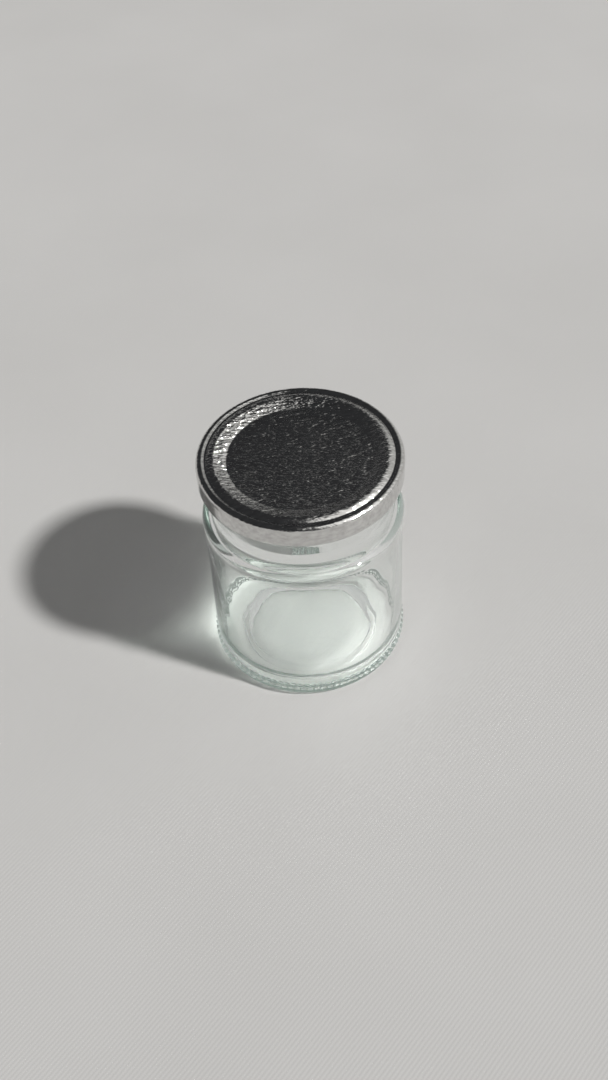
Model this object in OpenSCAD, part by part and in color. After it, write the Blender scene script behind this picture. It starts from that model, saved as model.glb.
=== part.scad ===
// Spice jar: a moulded glass jar with a four-lug twist-off cap of pressed tinplate.
// Origin at the middle of the base, +Z up. Three real pieces: the glass, the cap's
// shell with its rolled edge and lugs, and the sealing ring cast into the cap.

/* [Jar body] */
// How far the shoulder ring and the knurls lie inside the edge of the cap
ring_inset = 0.15; // [0:0.05:0.6]
// How far the label panel lies inside the shoulder ring and the knurls
panel_inset = 0.45; // [0.2:0.05:0.8]
// Height of the side wall from the table to the shoulder ring
panel_h = 54.7; // [20:0.1:90]
// Thickness of the side wall at the label panel
wall_t = 2.3; // [1.5:0.1:4]
// Radius of the rounded corner under the heel
heel_round = 2.4; // [1:0.1:4]
// Height of the plain shoulder ring
shoulder_band_h = 2; // [1:0.1:5]
// Radius of the rounding on top of the shoulder ring
shoulder_round = 2.1; // [1:0.1:3.5]
// Rise of the hollow curve from the shoulder up to the neck
neck_foot_h = 4.4; // [2:0.1:8]

/* [Heel knurls] */
// Number of knurls in a row round the heel
knurls = 90; // [40:1:100]
// Number of rows, each half a step round from the one below
knurl_rows = 2; // [1:1:4]
// Diameter of a knurl where it stands on the wall
knurl_d = 2; // [1:0.1:2]
// Height of the lowest row's middle above the table
knurl_z = 3.2; // [2:0.1:6]
// Height from one row to the next
knurl_row_h = 2; // [2:0.1:4]

/* [Base] */
// Thickness of the glass from the table to the floor inside
floor_t = 4.8; // [3.5:0.1:8]
// Radius of the raised middle of the underside
punt_r = 22; // [12:0.1:26]
// Height of the raised middle above the table
punt_h = 1.5; // [0.5:0.1:2.5]
// Width of the sloping edge of the raised middle
punt_slope_w = 2.2; // [1:0.1:4]
// Radius of the corner between the floor and the wall inside
floor_round = 6; // [3:0.1:10]

/* [Neck] */
// Outer radius of the neck
neck_r = 29.1; // [24:0.1:32]
// Thickness of the neck
neck_t = 2.4; // [1.8:0.1:4]
// Height of the neck from the end of its foot to the rim
neck_h = 16.6; // [12:0.1:25]
// Width of the flat land on top of the rim
rim_land_w = 0.8; // [0.4:0.1:1.4]

/* [Threads] */
// Number of glass threads and of lugs on the cap
starts = 4; // [3:1:6]
// How far a thread stands out from the neck
thread_h = 1.6; // [1:0.1:2.2]
// Thickness of a thread, top to bottom
thread_w = 1.6; // [1:0.1:2.2]
// Length of a thread round the neck, in degrees
thread_arc = 54; // [30:1:56]
// How far a thread drops from one end to the other
thread_drop = 2.2; // [1:0.1:3]

/* [Cap] */
// Thickness of the tinplate
tin_t = 0.25; // [0.2:0.05:0.5]
// Height of the cap from its crest to its rolled edge
cap_h = 8.2; // [7.6:0.1:11]
// Outer radius of the rolled edge's tube
curl_r = 1.1; // [0.9:0.05:1.5]
// Radius of the rounded corner between the top and the skirt
cap_corner_r = 1.5; // [1:0.1:2]
// Radius of the fine groove inside the corner
groove_r = 0.7; // [0.5:0.05:1]
// Steepness of the groove's flanks, in degrees
groove_slope = 38; // [20:1:50]
// Radius of the crest over the glass rim
crest_r = 1.3; // [0.8:0.1:2]
// Steepness of the slope from the crest down to the panel, in degrees
slope_angle = 20; // [10:1:30]
// Radius of the cap's flat middle panel
cap_panel_r = 23.3; // [15:0.1:24.5]
// Radius of the bend round the middle panel
cap_bend_r = 1.5; // [0.8:0.1:3]

/* [Lugs] */
// Width of a lug round the cap, in degrees
lug_arc = 20; // [12:1:24]
// Thickness of a lug
lug_t = 1.3; // [1:0.1:1.6]
// How much thinner a lug gets towards its tip
lug_taper = 0.4; // [0.1:0.1:0.6]
// Turn of the cap from seated to tight, in degrees
turn = 46; // [20:1:48]

/* [Seal and clearances] */
// Thickness of the sealing ring over the rim
seal_t = 1; // [0.6:0.1:1.6]
// How far the sealing ring reaches past the rim on the inside
seal_lap = 0.4; // [0.1:0.05:0.6]
// Gap between the sealing ring and the pieces above and below it
seal_gap = 0.05; // [0.02:0.01:0.1]
// Gap between the rolled edge and the crest of the threads
curl_gap = 0.4; // [0.3:0.05:1]
// Gap between a lug's tip and the neck
lug_neck_gap = 0.5; // [0.3:0.05:0.8]
// Gap between a lug and the thread above it when the cap is tight
lug_thread_gap = 0.3; // [0.2:0.05:0.6]

/* [Hidden] */
$fn = 96;

// Steps along each rounded stretch of an outline
arc_steps = 6;
// How deep a thread is rooted in the neck
thread_root = 0.8;
// How deep a knurl is rooted in the wall
knurl_root = 0.5;
// Height of the soft step from the label panel out to the shoulder ring
ring_step_h = 1.2;

// Radii, from the neck out to the cap's edge and the jar's straight side in line with it
thread_r = neck_r + thread_h;
cap_r = thread_r + curl_gap + 2 * curl_r;
ring_r = cap_r - ring_inset;

// Jar, from the table up
panel_r = ring_r - panel_inset;
shoulder_band_z = panel_h + ring_step_h;
shoulder_top_z = shoulder_band_z + shoulder_band_h;
neck_foot_z = shoulder_top_z + shoulder_round;
neck_z = neck_foot_z + neck_foot_h;
rim_z = neck_z + neck_h;
inner_r = panel_r - wall_t;
mouth_r = neck_r - neck_t;
rim_round = (neck_t - rim_land_w) / 2;
rim_mid_r = neck_r - neck_t / 2;

// Cap, from the rim up
crest_z = rim_z + seal_t + 2 * seal_gap + tin_t;
cap_bottom_z = crest_z - cap_h;
corner_mid_r = cap_r - cap_corner_r;
curl_mid_r = cap_r - curl_r;
curl_z = cap_bottom_z + curl_r;
lug_tip_r = neck_r + lug_neck_gap;
lug_top_z = cap_bottom_z + lug_t;

// Flat ring between the groove and the crest over the rim, and the cap's dished slope
groove_mid_r = corner_mid_r - (cap_corner_r + groove_r) * sin(groove_slope);
groove_mid_z = crest_z - cap_corner_r
             + (cap_corner_r + groove_r) * cos(groove_slope);
inner_crest_r = groove_mid_r - (groove_r + cap_corner_r) * sin(groove_slope);
slope_len = (rim_mid_r - cap_panel_r - (crest_r + cap_bend_r) * sin(slope_angle))
          / cos(slope_angle);
cap_panel_z = crest_z - slope_len * sin(slope_angle)
            - (crest_r + cap_bend_r) * (1 - cos(slope_angle));

// A thread is a ring tilted about the radius through its middle
thread_tilt = atan(thread_drop / (2 * thread_r * sin(thread_arc / 2)));
pitch_angle = 360 / starts;
thread_mid_angle = -pitch_angle / 2;
lug_lead_angle = -(turn + lug_arc / 2);
thread_z = lug_top_z + lug_thread_gap + thread_w / 2
         - thread_r * sin(lug_lead_angle - thread_mid_angle) * tan(thread_tilt);

echo(rim_z = rim_z, cap_top_z = crest_z, cap_r = cap_r, cap_panel_z = cap_panel_z);

// Points on an arc about a centre, from one angle to another
function arc(r0, z0, radius, from, to) =
    [for (i = [0 : arc_steps])
        let (a = from + (to - from) * i / arc_steps)
        [r0 + radius * cos(a), z0 + radius * sin(a)]];

// Points on a soft S-shaped step between two radii
function step_curve(ra, za, rb, zb) =
    [for (i = [0 : arc_steps])
        [ra + (rb - ra) * (1 - cos(180 * i / arc_steps)) / 2, za + (zb - za) * i / arc_steps]];

// Points on the hollow curve at the neck's foot, upright where it meets the neck
neck_foot_w = ring_r - shoulder_round - neck_r;
neck_foot_arc_r = (pow(neck_foot_w, 2) + pow(neck_foot_h, 2)) / (2 * neck_foot_w);
neck_foot_angle = asin(neck_foot_h / neck_foot_arc_r);
function neck_foot() =
    arc(neck_r + neck_foot_arc_r, neck_z, neck_foot_arc_r, 180 + neck_foot_angle, 180);

// The outside of the glass, from the middle of the base to the rim's land
function glass_outside() = concat(
    [[0, punt_h]],
    step_curve(punt_r - punt_slope_w / 2, punt_h, punt_r + punt_slope_w / 2, 0),
    arc(panel_r - heel_round, heel_round, heel_round, -90, 0),
    step_curve(panel_r, panel_h, ring_r, shoulder_band_z),
    arc(ring_r - shoulder_round, shoulder_top_z, shoulder_round, 0, 90),
    neck_foot(),
    arc(neck_r - rim_round, rim_z - rim_round, rim_round, 0, 90)
);

// The inside of the glass, from the rim's land down to the middle of the floor
function glass_inside() = concat(
    arc(mouth_r + rim_round, rim_z - rim_round, rim_round, 90, 180),
    step_curve(mouth_r, neck_z + 1, inner_r, panel_h),
    arc(inner_r - floor_round, floor_t + floor_round, floor_round, 0, -90),
    [[0, floor_t]]
);

// One thread: a round-nosed ridge with round ends, lower at its clockwise end
module thread() {
    nose_r = thread_w / 2;
    nose_mid_r = thread_r - nose_r;
    root_r = neck_r - thread_root;
    rotate([0, 0, thread_mid_angle])
        translate([0, 0, thread_z])
            rotate([thread_tilt, 0, 0]) {
                rotate([0, 0, -thread_arc / 2])
                    rotate_extrude(angle = thread_arc)
                        polygon(concat(
                            [[root_r, -nose_r]],
                            arc(nose_mid_r, 0, nose_r, -90, 90),
                            [[root_r, nose_r]]));
                for (side = [-1, 1])
                    rotate([0, 0, side * thread_arc / 2])
                        translate([root_r, 0, 0])
                            rotate([0, 90, 0])
                                cylinder(h = thread_r - root_r - nose_r / 2, r = nose_r);
            }
}

// One knurl: a low dome cut from a ball, rooted in the wall
module knurl() {
    ball_r = (pow(knurl_d / 2, 2) + pow(panel_inset, 2)) / (2 * panel_inset);
    translate([panel_r, 0, 0]) rotate([0, 90, 0])
        intersection() {
            translate([0, 0, panel_inset - ball_r]) sphere(r = ball_r, $fn = 24);
            translate([0, 0, -knurl_root])
                cylinder(h = knurl_root + 2 * panel_inset, r = knurl_d / 2, $fn = 24);
        }
}

// The knurled heel: staggered rows of domes that reach out as far as the shoulder ring
module heel_knurls() {
    for (row = [0 : knurl_rows - 1], k = [0 : knurls - 1])
        rotate([0, 0, (k + row / 2) * 360 / knurls])
            translate([0, 0, knurl_z + row * knurl_row_h]) knurl();
}

// The jar: one revolved wall, with threads round the neck and knurls round the heel
module glass_jar() {
    color([0.78, 0.90, 0.86, 0.45]) {
        rotate_extrude() polygon(concat(glass_outside(), glass_inside()));
        for (k = [0 : starts - 1])
            rotate([0, 0, k * pitch_angle]) thread();
        heel_knurls();
    }
}

// The face of the tinplate at a depth below its outside: panel, slope, crest, groove,
// corner and skirt, ending in an edge rolled inwards through most of a turn
function tin_face(depth) = concat(
    [[0, cap_panel_z - depth]],
    arc(cap_panel_r, cap_panel_z + cap_bend_r, cap_bend_r + depth, -90, slope_angle - 90),
    arc(rim_mid_r, crest_z - crest_r, crest_r - depth, 90 + slope_angle, 90),
    arc(inner_crest_r, crest_z - cap_corner_r, cap_corner_r - depth, 90, 90 - groove_slope),
    arc(groove_mid_r, groove_mid_z, groove_r + depth, 270 - groove_slope, 270 + groove_slope),
    arc(corner_mid_r, crest_z - cap_corner_r, cap_corner_r - depth, 90 + groove_slope, 0),
    [for (i = [0 : 2 * arc_steps])
        let (a = -150 * i / arc_steps)
        [curl_mid_r + (curl_r - depth) * cos(a), curl_z + (curl_r - depth) * sin(a)]]
);

function reversed(points) = [for (i = [len(points) - 1 : -1 : 0]) points[i]];

// One lug: the rolled edge pressed flat and turned inwards under a thread
module lug() {
    tip_r = (lug_t - lug_taper) / 2;
    rotate([0, 0, -lug_arc / 2])
        rotate_extrude(angle = lug_arc)
            polygon(concat(
                [[curl_mid_r, cap_bottom_z + tin_t / 2]],
                [[curl_mid_r, lug_top_z]],
                arc(lug_tip_r + tip_r, lug_top_z - tip_r, tip_r, 90, 270)));
}

// The cap's shell: one sheet with its rolled edge, and its lugs
module cap_shell() {
    color([0.72, 0.72, 0.74]) {
        rotate_extrude() polygon(concat(tin_face(0), reversed(tin_face(tin_t))));
        for (k = [0 : starts - 1])
            rotate([0, 0, k * pitch_angle]) lug();
    }
}

// The sealing ring: fills the channel over the rim, up to the underside of the tinplate
module sealing_ring() {
    under = tin_t + seal_gap;
    foot_z = rim_z + seal_gap;
    in_r = mouth_r - seal_lap;
    crest_mid_z = crest_z - crest_r;
    slope_r = rim_mid_r - (crest_r - under) * sin(slope_angle);
    slope_z = crest_mid_z + (crest_r - under) * cos(slope_angle);
    color([0.93, 0.92, 0.88])
        rotate_extrude()
            polygon(concat(
                [[in_r, foot_z], [in_r, slope_z - (slope_r - in_r) * tan(slope_angle)]],
                arc(rim_mid_r, crest_mid_z, crest_r - under, 90 + slope_angle, 90),
                [[inner_crest_r, crest_z - under], [inner_crest_r, foot_z]]));
}

glass_jar();
sealing_ring();
cap_shell();
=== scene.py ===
import math

import bpy
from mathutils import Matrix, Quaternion, Vector


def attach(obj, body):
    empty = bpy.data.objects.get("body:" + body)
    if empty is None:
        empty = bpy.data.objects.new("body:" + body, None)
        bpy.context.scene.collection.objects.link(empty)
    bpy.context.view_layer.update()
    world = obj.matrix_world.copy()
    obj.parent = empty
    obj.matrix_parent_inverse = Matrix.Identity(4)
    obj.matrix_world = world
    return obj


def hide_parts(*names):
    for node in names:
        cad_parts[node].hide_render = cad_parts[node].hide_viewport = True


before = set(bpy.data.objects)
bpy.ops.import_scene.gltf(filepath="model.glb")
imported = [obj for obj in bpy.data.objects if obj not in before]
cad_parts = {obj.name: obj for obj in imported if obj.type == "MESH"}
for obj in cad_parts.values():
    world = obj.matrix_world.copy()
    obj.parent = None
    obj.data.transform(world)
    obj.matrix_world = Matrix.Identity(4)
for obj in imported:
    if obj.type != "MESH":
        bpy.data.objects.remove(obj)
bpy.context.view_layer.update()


# Glass jar: one piece of pressed and blown soda-lime glass, clear with a faint green
# cast, thick at the base and wavy on the inside. Its neck carries four short slanted
# threads, and its heel two staggered rows of small knurls. Sizes are in millimetres.
metres_per_mm = 0.001
panel_radius = 32.7
ring_radius = 33.15
panel_height = 54.7
wall_thickness = 2.3
heel_rounding = 2.4
ring_step_height = 1.2
shoulder_ring_height = 2.0
shoulder_rounding = 2.1
neck_foot_rise = 4.4
neck_radius = 29.1
neck_thickness = 2.4
neck_height = 16.6
rim_land_width = 0.8
floor_thickness = 4.8
floor_rounding = 6.0
punt_radius = 22.0
punt_rise = 1.5
punt_slope_width = 2.2

shoulder_ring_z = panel_height + ring_step_height
shoulder_top_z = shoulder_ring_z + shoulder_ring_height
neck_foot_z = shoulder_top_z + shoulder_rounding
neck_z = neck_foot_z + neck_foot_rise
rim_z = neck_z + neck_height
inner_radius = panel_radius - wall_thickness
mouth_radius = neck_radius - neck_thickness
rim_rounding = (neck_thickness - rim_land_width) / 2

wall_columns = 360
heel_columns = 3 * wall_columns
same_point = 1e-6


def arc(mid_r, mid_z, radius, start, stop, steps=10):
    """Points on an arc about a centre, from one angle to another, in degrees."""
    turns = [math.radians(start + (stop - start) * i / steps) for i in range(steps + 1)]
    return [(mid_r + radius * math.cos(t), mid_z + radius * math.sin(t)) for t in turns]


def soft_step(start, stop, steps=10):
    """Points on an S-shaped step that starts and ends upright."""
    points = []
    for i in range(steps + 1):
        share = (1 - math.cos(math.pi * i / steps)) / 2
        radius = start[0] + (stop[0] - start[0]) * share
        points.append((radius, start[1] + (stop[1] - start[1]) * i / steps))
    return points


def straight(start, stop, steps):
    """Points between two ends, without the ends."""
    shares = [i / steps for i in range(1, steps)]
    return [(start[0] + (stop[0] - start[0]) * s, start[1] + (stop[1] - start[1]) * s)
            for s in shares]


def linked(*runs):
    """One outline from several runs, with no point twice."""
    outline = []
    for point in [p for run in runs for p in run]:
        if not outline or math.dist(point, outline[-1]) > same_point:
            outline.append(point)
    return outline


# The threads: each is a ring tilted about the radius through its middle
thread_count = 4
thread_rise = 1.6
thread_half_width = 0.9
thread_half_arc = math.radians(27)
thread_drop = 2.2
thread_middle_z = 77.01
thread_crest_radius = neck_radius + thread_rise
thread_tilt = math.atan(thread_drop / (2 * thread_crest_radius * math.sin(thread_half_arc)))
thread_middle_angle = math.radians(-45)
thread_margin = 1.2


def wrapped(angle):
    """An angle brought between minus and plus half a turn."""
    return (angle + math.pi) % (2 * math.pi) - math.pi


def thread_height(angle, z):
    """How far the glass stands out from the neck where a thread passes."""
    for k in range(thread_count):
        off = wrapped(angle - thread_middle_angle - k * 2 * math.pi / thread_count)
        middle_z = thread_middle_z + thread_crest_radius * math.sin(off) * math.sin(thread_tilt)
        beyond_end = max(0, abs(off) - thread_half_arc) * thread_crest_radius
        share = math.hypot(z - middle_z, beyond_end) / thread_half_width
        if share < 1:
            return thread_rise * math.sqrt(1 - share ** 3)
    return 0


# The heel's knurls: low round domes, each row half a step round from the one below
knurl_count = 90
knurl_radius = 1.0
knurl_rise = 0.45
knurl_row_heights = (3.2, 5.2)
knurl_step = 2 * math.pi / knurl_count


def knurl_height(angle, z):
    """How far the glass stands out from the wall where a knurl lies."""
    for row, row_z in enumerate(knurl_row_heights):
        place = angle / knurl_step - row / 2
        round_way = (place - round(place)) * knurl_step * panel_radius
        distance = math.hypot(round_way, z - row_z)
        if distance < knurl_radius:
            return knurl_rise * math.sqrt(1 - (distance / knurl_radius) ** 2)
    return 0


# The inside of the wall was blown, so it waves a little between floor and shoulder. Each
# ripple has its number of waves round the wall, its height and its lean
ripples = ((3, 0.06, 0.05), (5, 0.04, -0.08), (9, 0.02, 0.17), (14, 0.014, -0.3), (31, 0.006, 0.4))
ripple_start = 2
ripple_low_z = floor_thickness + ripple_start
ripple_high_z = panel_height


def ripple_height(angle, z):
    """How far the inner face strays from a true cylinder."""
    share = (z - ripple_low_z) / (ripple_high_z - ripple_low_z)
    if not 0 < share < 1:
        return 0
    waves = sum(size * math.sin(count * angle + lean * z + count * count)
                for count, size, lean in ripples)
    return waves * math.sin(math.pi * share) ** 0.5


# The mould's two halves meet in a hair-fine seam up both sides of the body
seam_rise = 0.05
seam_half_width = math.radians(0.6)


def seam_height(angle, z):
    """How far the seam stands out from the wall."""
    off = min(abs(wrapped(angle)), abs(wrapped(angle - math.pi)))
    return seam_rise * max(0, 1 - off / seam_half_width)


def plain(angle, z):
    """A stretch of outline that stays truly round."""
    return 0


def ring_of(verts, radius, z, columns, height):
    """One ring of points about the axis, or the single point on it."""
    first = len(verts)
    if radius < same_point:
        verts.append((0, 0, z * metres_per_mm))
        return [first]
    for k in range(columns):
        angle = 2 * math.pi * k / columns
        reach = (radius + height(angle, z)) * metres_per_mm
        verts.append((reach * math.cos(angle), reach * math.sin(angle), z * metres_per_mm))
    return list(range(first, len(verts)))


def join_rings(faces, low, high):
    """Faces between two rings, also where one has a whole number of times more points."""
    if len(low) == 1 or len(high) == 1:
        ring = high if len(low) == 1 else low
        for k, point in enumerate(ring):
            after = ring[(k + 1) % len(ring)]
            faces.append((low[0], after, point) if len(low) == 1 else (point, after, high[0]))
        return
    count = min(len(low), len(high))
    for k in range(count):
        sides = []
        for ring in (low, high):
            step = len(ring) // count
            sides.append([ring[(k * step + j) % len(ring)] for j in range(step + 1)])
        below, above = sides
        faces.append(tuple(below + above[::-1]))


def smooth_piece(name, verts, faces):
    """A smooth piece made of points and faces, put in the scene."""
    mesh = bpy.data.meshes.new(name)
    mesh.from_pydata(verts, [], faces)
    mesh.validate()
    mesh.polygons.foreach_set("use_smooth", [True] * len(mesh.polygons))
    piece = bpy.data.objects.new(name, mesh)
    bpy.context.scene.collection.objects.link(piece)
    return piece


def revolved(name, bands, closed=False):
    """A smooth piece revolved from bands of outline, each with its columns and its relief."""
    verts, faces, rings = [], [], []
    for points, columns, height in bands:
        rings += [ring_of(verts, r, z, columns, height) for r, z in points]
    for low, high in zip(rings, rings[1:]):
        join_rings(faces, low, high)
    if closed:
        join_rings(faces, rings[-1], rings[0])
    return smooth_piece(name, verts, faces)


# The outline runs up the outside and down the inside. Only the heel has the fine columns
# that its knurls need, and they begin partway up its rounding
coarse_columns_end = -20
fine_columns_start = -17
punt_inner = (punt_radius - punt_slope_width / 2, punt_rise)
punt_outer = (punt_radius + punt_slope_width / 2, 0)
underside = linked(
    [(0, punt_rise)],
    straight((0, punt_rise), punt_inner, steps=4),
    soft_step(punt_inner, punt_outer),
    straight(punt_outer, (panel_radius - heel_rounding, 0), steps=6),
    arc(panel_radius - heel_rounding, heel_rounding, heel_rounding,
        start=-90, stop=coarse_columns_end, steps=9))
heel_top_z = 6.4
heel_row_step = 0.2
heel_rows = round((heel_top_z - heel_rounding) / heel_row_step)
heel = linked(
    arc(panel_radius - heel_rounding, heel_rounding, heel_rounding,
        start=fine_columns_start, stop=0, steps=4),
    straight((panel_radius, heel_rounding), (panel_radius, heel_top_z), steps=heel_rows),
    [(panel_radius, heel_top_z)])
panel = linked(
    straight((panel_radius, heel_top_z), (panel_radius, panel_height), steps=14),
    soft_step((panel_radius, panel_height), (ring_radius, shoulder_ring_z)),
    [(ring_radius, shoulder_top_z)])
neck_foot_width = ring_radius - shoulder_rounding - neck_radius
neck_foot_radius = ((neck_foot_width ** 2 + neck_foot_rise ** 2)
                    / (2 * neck_foot_width))
neck_foot_angle = math.degrees(math.asin(neck_foot_rise / neck_foot_radius))
thread_low_z = thread_middle_z - thread_drop / 2 - thread_margin
thread_high_z = thread_middle_z + thread_drop / 2 + thread_margin
shoulder = linked(
    arc(ring_radius - shoulder_rounding, shoulder_top_z, shoulder_rounding,
        start=6, stop=90, steps=12),
    arc(neck_radius + neck_foot_radius, neck_z, neck_foot_radius,
        start=180 + neck_foot_angle, stop=180),
    straight((neck_radius, neck_z), (neck_radius, thread_low_z), steps=6))
threads = straight((neck_radius, thread_low_z), (neck_radius, thread_high_z), steps=32)
mouth_foot_rise = 1
mouth_foot_z = neck_z + mouth_foot_rise
rim = linked(
    arc(neck_radius - rim_rounding, rim_z - rim_rounding, rim_rounding,
        start=0, stop=90, steps=8),
    arc(mouth_radius + rim_rounding, rim_z - rim_rounding, rim_rounding,
        start=90, stop=180, steps=8),
    straight((mouth_radius, rim_z - rim_rounding), (mouth_radius, mouth_foot_z), steps=6),
    soft_step((mouth_radius, mouth_foot_z), (inner_radius, panel_height), steps=16))
inside = linked(
    straight((inner_radius, panel_height), (inner_radius, floor_thickness + floor_rounding),
             steps=28),
    arc(inner_radius - floor_rounding, floor_thickness + floor_rounding, floor_rounding,
        start=0, stop=-90, steps=14),
    straight((inner_radius - floor_rounding, floor_thickness), (0, floor_thickness), steps=5),
    [(0, floor_thickness)])
jar = revolved("glass_jar_glass", [
    (underside, wall_columns, plain),
    (heel, heel_columns, knurl_height),
    (panel, wall_columns, seam_height),
    (shoulder, wall_columns, plain),
    (threads, wall_columns, thread_height),
    (rim, wall_columns, plain),
    (inside, wall_columns, ripple_height)])


def set_values(node, values):
    """Set values on a node's own sockets."""
    for socket, value in values.items():
        node.inputs[socket].default_value = value


def add_node(tree, kind, values=None):
    """A new node with values on its own sockets."""
    node = tree.nodes.new(kind)
    set_values(node, values or {})
    return node


def add_noise(tree, coordinates, values):
    """The noise found at some coordinates."""
    node = add_node(tree, "ShaderNodeTexNoise", values)
    tree.links.new(coordinates, node.inputs["Vector"])
    return node.outputs["Fac"]


def add_math(tree, operation, *terms):
    """A calculation whose terms are plain numbers or come from other nodes."""
    node = add_node(tree, "ShaderNodeMath")
    node.operation = operation
    for socket, term in zip(node.inputs, terms):
        if isinstance(term, bpy.types.NodeSocket):
            tree.links.new(term, socket)
        else:
            socket.default_value = term
    return node.outputs["Value"]


def add_range(tree, value, start, stop, least=0, most=1, soft=False):
    """A number brought from one range into another, with soft ends where asked."""
    node = add_node(tree, "ShaderNodeMapRange", {
        "From Min": start, "From Max": stop, "To Min": least, "To Max": most})
    if soft:
        node.interpolation_type = "SMOOTHSTEP"
    tree.links.new(value, node.inputs["Value"])
    return node.outputs["Result"]


def add_ramp(tree, share, start, start_tone, stop, stop_tone):
    """A tone that runs from one to another as a number goes from start to stop."""
    node = add_node(tree, "ShaderNodeValToRGB")
    low, high = node.color_ramp.elements
    low.position = start
    low.color = start_tone
    high.position = stop
    high.color = stop_tone
    tree.links.new(share, node.inputs["Fac"])
    return node.outputs["Color"]


def add_tone_mix(tree, share, tone, other_tone):
    """A tone from another node, taken over by a plain one."""
    node = add_node(tree, "ShaderNodeMix")
    node.data_type = "RGBA"
    node.inputs["B"].default_value = other_tone
    tree.links.new(share, node.inputs["Factor"])
    tree.links.new(tone, node.inputs["A"])
    return node.outputs["Result"]


def add_bump(tree, height, values):
    """Relief on a material, led to its shader."""
    node = add_node(tree, "ShaderNodeBump", values)
    tree.links.new(height, node.inputs["Height"])
    tree.links.new(node.outputs["Normal"], tree.nodes["Principled BSDF"].inputs["Normal"])


def add_shader_mix(tree, share, shader, other_shader):
    """One shader taken over by another."""
    node = add_node(tree, "ShaderNodeMixShader")
    tree.links.new(share, node.inputs["Fac"])
    tree.links.new(shader, node.inputs[1])
    tree.links.new(other_shader, node.inputs[2])
    return node.outputs["Shader"]


# Handling leaves faint smears on glass, compound and tinplate: one effect, placed in each
smears = bpy.data.node_groups.new("handling_smears", "ShaderNodeTree")
smears.interface.new_socket("Vector", in_out="INPUT", socket_type="NodeSocketVector")
for socket_name in ("Size", "Least", "Most"):
    smears.interface.new_socket(socket_name, in_out="INPUT", socket_type="NodeSocketFloat")
smears.interface.new_socket("Roughness", in_out="OUTPUT", socket_type="NodeSocketFloat")
smears_in = smears.nodes.new("NodeGroupInput")
smears_out = smears.nodes.new("NodeGroupOutput")
smear_noise = add_node(smears, "ShaderNodeTexNoise", {"Detail": 5, "Distortion": 1.2})
smear_range = add_node(smears, "ShaderNodeMapRange", {"From Min": 0.42, "From Max": 0.72})
smears.links.new(smears_in.outputs["Vector"], smear_noise.inputs["Vector"])
smears.links.new(smears_in.outputs["Size"], smear_noise.inputs["Scale"])
smears.links.new(smear_noise.outputs["Fac"], smear_range.inputs["Value"])
smears.links.new(smears_in.outputs["Least"], smear_range.inputs["To Min"])
smears.links.new(smears_in.outputs["Most"], smear_range.inputs["To Max"])
smears.links.new(smear_range.outputs["Result"], smears_out.inputs["Roughness"])


def add_smears(tree, coordinates, values):
    """Place the smears in a material and lead them to its roughness."""
    node = tree.nodes.new("ShaderNodeGroup")
    node.node_tree = smears
    set_values(node, values)
    tree.links.new(coordinates, node.inputs["Vector"])
    tree.links.new(node.outputs["Roughness"], tree.nodes["Principled BSDF"].inputs["Roughness"])


def finish_for(name, values):
    """A new node material with values on its shader, and its object coordinates."""
    material = bpy.data.materials.new(name)
    material.use_nodes = True
    tree = material.node_tree
    set_values(tree.nodes["Principled BSDF"], values)
    coordinates = tree.nodes.new("ShaderNodeTexCoord")
    return material, tree, coordinates.outputs["Object"]


# The glass itself: clear, a little green in the thick places, with a fire-polished skin
glass, tree, place = finish_for("clear_glass", {
    "Base Color": (0.995, 1, 0.997, 1), "Transmission Weight": 1, "IOR": 1.52, "Metallic": 0})
add_smears(tree, place, {"Size": 60, "Least": 0, "Most": 0.035})
skin = add_noise(tree, place, {"Scale": 240, "Detail": 2})
add_bump(tree, skin, {"Strength": 0.25, "Distance": 0.00004})
depth_tint = add_node(tree, "ShaderNodeVolumeAbsorption", {
    "Color": (0.60, 0.93, 0.82, 1), "Density": 5})
output = tree.nodes["Material Output"]
tree.links.new(depth_tint.outputs["Volume"], output.inputs["Volume"])
# Light passes on into the shadow: nearly all of it face on, little where glass is edge on
facing = add_node(tree, "ShaderNodeLayerWeight", {"Blend": 0.35})
shadow_tone = add_ramp(tree, facing.outputs["Facing"],
                       start=0.1, start_tone=(0.83, 0.85, 0.84, 1),
                       stop=0.85, stop_tone=(0.10, 0.12, 0.11, 1))
# Light that has turned three times inside the wall comes out again, a little dimmer and
# greener, so that the thick shoulder doesn't hold it and go black
most_inner_turns = 2.5
light_path = add_node(tree, "ShaderNodeLightPath")
turned_inside = add_math(tree, "GREATER_THAN", light_path.outputs["Glossy Depth"],
                         most_inner_turns)
passes_on = add_math(tree, "MAXIMUM", light_path.outputs["Is Shadow Ray"], turned_inside)
pass_tone = add_tone_mix(tree, turned_inside, shadow_tone, (0.72, 0.77, 0.75, 1))
clear_pass = add_node(tree, "ShaderNodeBsdfTransparent")
tree.links.new(pass_tone, clear_pass.inputs["Color"])
glass_shader = tree.nodes["Principled BSDF"].outputs["BSDF"]
surface = add_shader_mix(tree, passes_on, glass_shader, clear_pass.outputs["BSDF"])
tree.links.new(surface, output.inputs["Surface"])
jar.data.materials.append(glass)
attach(jar, "jar")
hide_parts("glass_jar")


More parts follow.
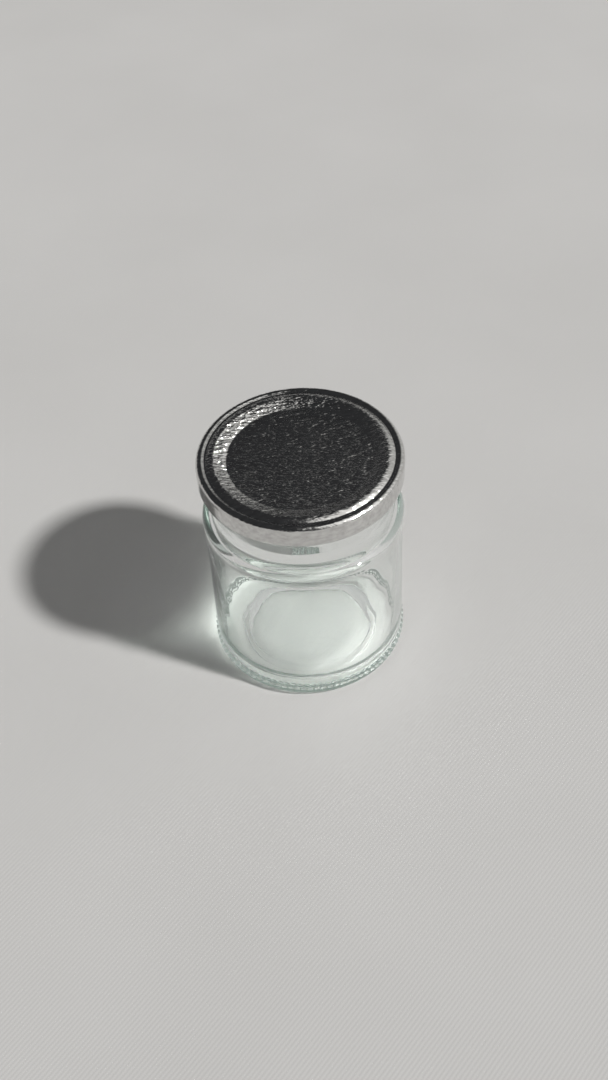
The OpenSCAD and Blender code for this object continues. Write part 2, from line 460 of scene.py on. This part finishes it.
# Sealing ring: a soft off-white compound, poured into the cap's channel and cured there.
# The glass rim has pressed a shallow seat in it, with a slight swell on either side.
tin_thickness = 0.25
seal_thickness = 1.0
seal_gap = 0.05
seal_overlap = 0.4
seal_inner_radius = mouth_radius - seal_overlap
seal_outer_radius = 29.05
seal_swell = 0.16
seal_edge_round = 0.12
seal_foot_z = rim_z + seal_gap
crest_radius = 2.67
crest_middle_r = 28.37
crest_z = rim_z + seal_thickness + 2 * seal_gap + tin_thickness
crest_middle_z = crest_z - crest_radius
slope_angle = 20
slope = math.radians(slope_angle)
seal_crest_radius = crest_radius - tin_thickness - seal_gap
seal_slope_r = crest_middle_r - seal_crest_radius * math.sin(slope)
seal_slope_z = crest_middle_z + seal_crest_radius * math.cos(slope)
seal_outer_turn = math.acos((seal_outer_radius - crest_middle_r) / seal_crest_radius)
seal_inner_top_z = seal_slope_z - (seal_slope_r - seal_inner_radius) * math.tan(slope)
seal_outer_top_z = crest_middle_z + seal_crest_radius * math.sin(seal_outer_turn)
seat_inner_r = mouth_radius + rim_rounding
seat_outer_r = neck_radius - rim_rounding
seal_outline = linked(
    [(seal_inner_radius, seal_inner_top_z)],
    straight((seal_inner_radius, seal_inner_top_z), (seal_inner_radius, seal_foot_z), steps=4),
    arc(seal_inner_radius + seal_edge_round, seal_foot_z, seal_edge_round,
        start=180, stop=270, steps=5),
    soft_step((seal_inner_radius + 2 * seal_edge_round, seal_foot_z - seal_swell),
              (seat_inner_r, seal_foot_z), steps=8),
    straight((seat_inner_r, seal_foot_z), (seat_outer_r, seal_foot_z), steps=4),
    soft_step((seat_outer_r, seal_foot_z),
              (seal_outer_radius - 2 * seal_edge_round, seal_foot_z - seal_swell), steps=8),
    arc(seal_outer_radius - seal_edge_round, seal_foot_z, seal_edge_round,
        start=270, stop=360, steps=5),
    straight((seal_outer_radius, seal_foot_z), (seal_outer_radius, seal_outer_top_z), steps=5),
    [(seal_outer_radius, seal_outer_top_z)],
    arc(crest_middle_r, crest_middle_z, seal_crest_radius,
        start=math.degrees(seal_outer_turn), stop=90 + slope_angle, steps=8))
seal_columns = 240
seal = revolved("sealing_ring_compound", [(seal_outline, seal_columns, plain)], closed=True)

compound, tree, place = finish_for("sealing_compound", {
    "Subsurface Weight": 0.15, "Subsurface Radius": (0.0012, 0.001, 0.0008),
    "Specular IOR Level": 0.4})
mottle = add_noise(tree, place, {"Scale": 420, "Detail": 6})
mottle_tone = add_ramp(tree, mottle, start=0, start_tone=(0.70, 0.68, 0.62, 1),
                       stop=1, stop_tone=(0.82, 0.81, 0.76, 1))
tree.links.new(mottle_tone, tree.nodes["Principled BSDF"].inputs["Base Color"])
add_bump(tree, mottle, {"Strength": 0.4, "Distance": 0.00006})
add_smears(tree, place, {"Size": 150, "Least": 0.4, "Most": 0.6})
seal.data.materials.append(compound)
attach(seal, "seal")
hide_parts("sealing_ring")


# Cap shell: one disc of bright lacquered tinplate, drawn into a shallow cap. Its edge is
# rolled inwards, and four places of the roll are pressed flat into lugs that catch under
# the glass threads. The top has a crest over the rim, a fine groove and a dished panel.
cap_radius = 33.3
cap_height = 8.2
roll_radius = 1.1
roll_turn = -300
cap_corner_radius = 1.5
groove_radius = 0.7
groove_angle = 38
cap_panel_radius = 23.3
cap_bend_radius = 1.5
lug_count = 4
lug_half_arc = math.radians(10)
lug_blend_arc = math.radians(2.5)
lug_tip_reach = 29.6
lug_height = 1.3
lug_tip_height = 0.9
groove_slope = math.radians(groove_angle)
cap_bottom_z = crest_z - cap_height
corner_middle_r = cap_radius - cap_corner_radius
roll_middle_r = cap_radius - roll_radius
roll_middle_z = cap_bottom_z + roll_radius
crest_to_groove = crest_radius + groove_radius
groove_to_corner = cap_corner_radius + groove_radius
crest_to_bend = crest_radius + cap_bend_radius
groove_middle_r = crest_middle_r + crest_to_groove * math.sin(groove_slope)
groove_middle_z = crest_middle_z + crest_to_groove * math.cos(groove_slope)
corner_middle_z = groove_middle_z - groove_to_corner * math.cos(groove_slope)
slope_length = ((crest_middle_r - cap_panel_radius - crest_to_bend * math.sin(slope))
                / math.cos(slope))
cap_panel_z = (crest_z - slope_length * math.sin(slope)
               - crest_to_bend * (1 - math.cos(slope)))


def cap_top(depth):
    """The top and the skirt at a depth below the outside, from the middle to the roll."""
    panel_z = cap_panel_z - depth
    skirt_r = cap_radius - depth
    return linked(
        [(0, panel_z)],
        straight((0, panel_z), (cap_panel_radius, panel_z), steps=10),
        arc(cap_panel_radius, cap_panel_z + cap_bend_radius, cap_bend_radius + depth,
            start=-90, stop=slope_angle - 90, steps=6),
        arc(crest_middle_r, crest_middle_z, crest_radius - depth,
            start=90 + slope_angle, stop=90 - groove_angle, steps=14),
        arc(groove_middle_r, groove_middle_z, groove_radius + depth,
            start=270 - groove_angle, stop=270 + groove_angle, steps=8),
        arc(corner_middle_r, corner_middle_z, cap_corner_radius - depth,
            start=90 + groove_angle, stop=0, steps=12),
        straight((skirt_r, corner_middle_z), (skirt_r, roll_middle_z), steps=8))


# The roll and the lugs have the same number of points, so that one can run into the other
lug_steps = 7
roll_steps = 4 * lug_steps


def rolled_edge(depth):
    """The edge rolled inwards through most of a turn."""
    return arc(roll_middle_r, roll_middle_z, roll_radius - depth,
               start=0, stop=roll_turn, steps=roll_steps)


def pressed_lug(depth):
    """The same strip of sheet pressed flat: in under the thread, round and back out."""
    tip_radius = lug_tip_height / 2
    tip_middle_r = lug_tip_reach + tip_radius
    lug_top_z = cap_bottom_z + lug_height
    tip_middle_z = lug_top_z - tip_radius
    back_r = roll_middle_r - roll_radius / 2
    outer = arc(roll_middle_r, roll_middle_z, roll_radius - depth,
                start=0, stop=-90, steps=lug_steps)
    under = straight((roll_middle_r, cap_bottom_z + depth),
                     (tip_middle_r, tip_middle_z - tip_radius + depth), steps=lug_steps)
    tip = arc(tip_middle_r, tip_middle_z, tip_radius - depth,
              start=270, stop=90, steps=lug_steps)
    back = straight((tip_middle_r, lug_top_z - depth), (back_r, lug_top_z - depth),
                    steps=lug_steps + 1)
    return outer + under + tip + back


def lug_share(angle):
    """How far the roll is pressed into a lug: 1 in a lug, 0 between lugs."""
    off = min(abs(wrapped(angle - k * 2 * math.pi / lug_count)) for k in range(lug_count))
    share = (lug_half_arc - off) / lug_blend_arc
    share = max(0, min(1, share))
    return share * share * (3 - 2 * share)


def blended_ring(verts, rolled, pressed, columns):
    """One ring of points that goes from the roll into the lugs and back."""
    first = len(verts)
    for k in range(columns):
        angle = 2 * math.pi * k / columns
        share = lug_share(angle)
        reach = (rolled[0] + (pressed[0] - rolled[0]) * share) * metres_per_mm
        z = (rolled[1] + (pressed[1] - rolled[1]) * share) * metres_per_mm
        verts.append((reach * math.cos(angle), reach * math.sin(angle), z))
    return list(range(first, len(verts)))


cap_columns = 432
verts = []
faces = []
sheet_sides = []
for depth in (0, tin_thickness):
    side = [ring_of(verts, r, z, cap_columns, plain) for r, z in cap_top(depth)]
    for rolled, pressed in zip(rolled_edge(depth), pressed_lug(depth)):
        side.append(blended_ring(verts, rolled, pressed, cap_columns))
    sheet_sides.append(side)
outer_side, inner_side = sheet_sides
for low, high in zip(outer_side[::-1], outer_side[-2::-1]):
    join_rings(faces, low, high)
for low, high in zip(inner_side, inner_side[1:]):
    join_rings(faces, low, high)
join_rings(faces, inner_side[-1], outer_side[-1])
cap = smooth_piece("cap_shell_tin", verts, faces)

# The sheet was rolled before it was pressed, so its grain runs one way across the top
tin, tree, place = finish_for("bright_tinplate", {
    "Metallic": 1, "Anisotropic": 0.3, "Coat Weight": 0.1, "Coat Roughness": 0.06})
grain_turn = math.radians(22)
grain_place = add_node(tree, "ShaderNodeMapping", {
    "Rotation": (0, 0, -grain_turn), "Scale": (300, 1000, 700)})
tree.links.new(place, grain_place.inputs["Vector"])
grain = add_noise(tree, grain_place.outputs["Vector"], {
    "Scale": 1, "Detail": 2, "Roughness": 0.6})
grain_tone = add_ramp(tree, grain, start=0.3, start_tone=(0.56, 0.555, 0.545, 1),
                      stop=0.7, stop_tone=(0.75, 0.745, 0.73, 1))
tree.links.new(grain_tone, tree.nodes["Principled BSDF"].inputs["Base Color"])
# Drawing the skirt down has ironed the grain nearly flat there
skirt_grain_share = 0.10
skirt_grain_depth = 2.4
top_grain_depth = 1.2
skirt_grain_z = (crest_z - skirt_grain_depth) * metres_per_mm
top_grain_z = (crest_z - top_grain_depth) * metres_per_mm
grain_height = add_node(tree, "ShaderNodeSeparateXYZ")
tree.links.new(place, grain_height.inputs["Vector"])
height_share = add_range(tree, grain_height.outputs["Z"], skirt_grain_z, top_grain_z,
                         least=skirt_grain_share)
# and stretching the sheet over the crest has softened it, too
crest_grain_share = 0.3
slope_grain_r = 27.6 * metres_per_mm
crest_grain_r = 29.5 * metres_per_mm
flat_place = add_node(tree, "ShaderNodeVectorMath")
flat_place.operation = "MULTIPLY"
flat_place.inputs[1].default_value = (1, 1, 0)
axis_distance = add_node(tree, "ShaderNodeVectorMath")
axis_distance.operation = "LENGTH"
tree.links.new(place, flat_place.inputs[0])
tree.links.new(flat_place.outputs["Vector"], axis_distance.inputs[0])
reach_share = add_range(tree, axis_distance.outputs["Value"], slope_grain_r, crest_grain_r,
                        least=1, most=crest_grain_share)
grain_share = add_math(tree, "MULTIPLY", height_share, reach_share)
grain_relief = add_math(tree, "MULTIPLY", grain_share, grain)
add_bump(tree, grain_relief, {"Strength": 1, "Distance": 0.0008})
add_smears(tree, place, {"Size": 45, "Least": 0.09, "Most": 0.15})
cap.data.materials.append(tin)
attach(cap, "cap")
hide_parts("cap_shell")


# Table: a plain pale grey sheet with a fine woven press in its surface. It only carries
# the jar and its shadow.
table_half_width = 2.5
corners = [(-1, -1), (1, -1), (1, 1), (-1, 1)]
table = smooth_piece(
    "table_sheet", [(x * table_half_width, y * table_half_width, 0) for x, y in corners],
    [(0, 1, 2, 3)])
# It lies a hair below the jar, so that glass and table don't share a plane
table_drop = 0.15
table.location.z = -table_drop * metres_per_mm
cloth, tree, place = finish_for("pale_table", {"Roughness": 0.65, "Specular IOR Level": 0.3})
cloud = add_noise(tree, place, {"Scale": 9, "Detail": 4})
cloud_tone = add_ramp(tree, cloud, start=0.3, start_tone=(0.52, 0.51, 0.495, 1),
                      stop=0.7, stop_tone=(0.55, 0.54, 0.525, 1))
tree.links.new(cloud_tone, tree.nodes["Principled BSDF"].inputs["Base Color"])
weave_turn = math.radians(40)
weave_place = add_node(tree, "ShaderNodeMapping", {"Rotation": (0, 0, weave_turn)})
weave = add_node(tree, "ShaderNodeTexWave", {"Scale": 260, "Distortion": 0.6})
tree.links.new(place, weave_place.inputs["Vector"])
tree.links.new(weave_place.outputs["Vector"], weave.inputs["Vector"])
add_bump(tree, weave.outputs["Fac"], {"Strength": 0.25, "Distance": 0.0001})
table.data.materials.append(cloth)


# Light: a soft key lamp from the front right, and a plain soft sky. Bare metal finds that
# sky darker overhead and on the left, and lighter to the right where the window is, so
# that the bright lid reads dark from above and its grain glitters on the window's side.
key_data = bpy.data.lights.new("key_lamp", "SUN")
key_data.angle = math.radians(4.5)
key_data.energy = 3.4
key_lamp = bpy.data.objects.new("key_lamp", key_data)
bpy.context.scene.collection.objects.link(key_lamp)
# The glass already lets this lamp's light on into the shadow, so it adds no second share
key_lamp.visible_transmission = False
key_from = Vector((0.64, -0.30, 0.71))
key_lamp.location = key_from
key_lamp.rotation_euler = key_from.to_track_quat("Z", "Y").to_euler()

# The room that bare metal mirrors: pale at the table's height and dark overhead
world = bpy.data.worlds.new("soft_sky")
bpy.context.scene.world = world
world.use_nodes = True
tree = world.node_tree
direction = add_node(tree, "ShaderNodeTexCoord").outputs["Generated"]
split = add_node(tree, "ShaderNodeSeparateXYZ")
tree.links.new(direction, split.inputs["Vector"])
room_tone = add_ramp(tree, split.outputs["Z"], start=0, start_tone=(0.45, 0.445, 0.44, 1),
                     stop=0.2, stop_tone=(0.03, 0.031, 0.033, 1))
# The window is on the right
window_share = add_range(tree, split.outputs["X"], start=0.08, stop=0.6, soft=True)
window_tone = add_tone_mix(tree, window_share, room_tone, (0.55, 0.55, 0.535, 1))
# A white screen hangs behind the key lamp, and the lid's crest shows it as a broad gleam
screen_side = add_node(tree, "ShaderNodeVectorMath")
screen_side.operation = "DOT_PRODUCT"
screen_side.inputs[1].default_value = key_from.normalized()
tree.links.new(direction, screen_side.inputs[0])
screen_share = add_range(tree, screen_side.outputs["Value"], start=0.72, stop=0.93, soft=True)
screen_tone = add_tone_mix(tree, screen_share, window_tone, (1, 0.99, 0.97, 1))
room = tree.nodes["Background"]
tree.links.new(screen_tone, room.inputs["Color"])
# What is seen through the glass keeps the pale backdrop, also after a turn inside the wall
sky_path = add_node(tree, "ShaderNodeLightPath")
any_pass = 0.5
backdrop_sky = add_node(tree, "ShaderNodeBackground", {"Color": (0.58, 0.575, 0.565, 1)})
outside_glass = add_math(tree, "LESS_THAN", sky_path.outputs["Transmission Depth"], any_pass)
bare_glossy = add_math(tree, "MULTIPLY", sky_path.outputs["Is Glossy Ray"], outside_glass)
seen_sky = add_shader_mix(tree, bare_glossy, backdrop_sky.outputs["Background"],
                          room.outputs["Background"])
# Light that comes off a dull surface finds the even soft sky
soft_sky = add_node(tree, "ShaderNodeBackground", {
    "Color": (0.98, 0.99, 1, 1), "Strength": 0.24})
after_diffuse = add_math(tree, "GREATER_THAN", sky_path.outputs["Diffuse Depth"], any_pass)
whole_sky = add_shader_mix(tree, after_diffuse, seen_sky, soft_sky.outputs["Background"])
tree.links.new(whole_sky, tree.nodes["World Output"].inputs["Surface"])


# Camera: hand-held above the near edge of the table, looking down at the jar and held a
# little askew. The lens is given for the long side of the picture.
camera_data = bpy.data.cameras.new("camera")
camera_data.lens = 48.55
camera_data.sensor_width = 36
camera = bpy.data.objects.new("camera", camera_data)
bpy.context.scene.collection.objects.link(camera)
bpy.context.scene.camera = camera
camera.location = (0, -0.33783, 0.39712)
aim = Vector((-0.00034, 0, 0.04276))
camera_roll = math.radians(-3.54)
look = (aim - camera.location).to_track_quat("-Z", "Y")
camera.rotation_euler = (look @ Quaternion((0, 0, 1), camera_roll)).to_euler()
bpy.context.scene.view_settings.view_transform = "Standard"
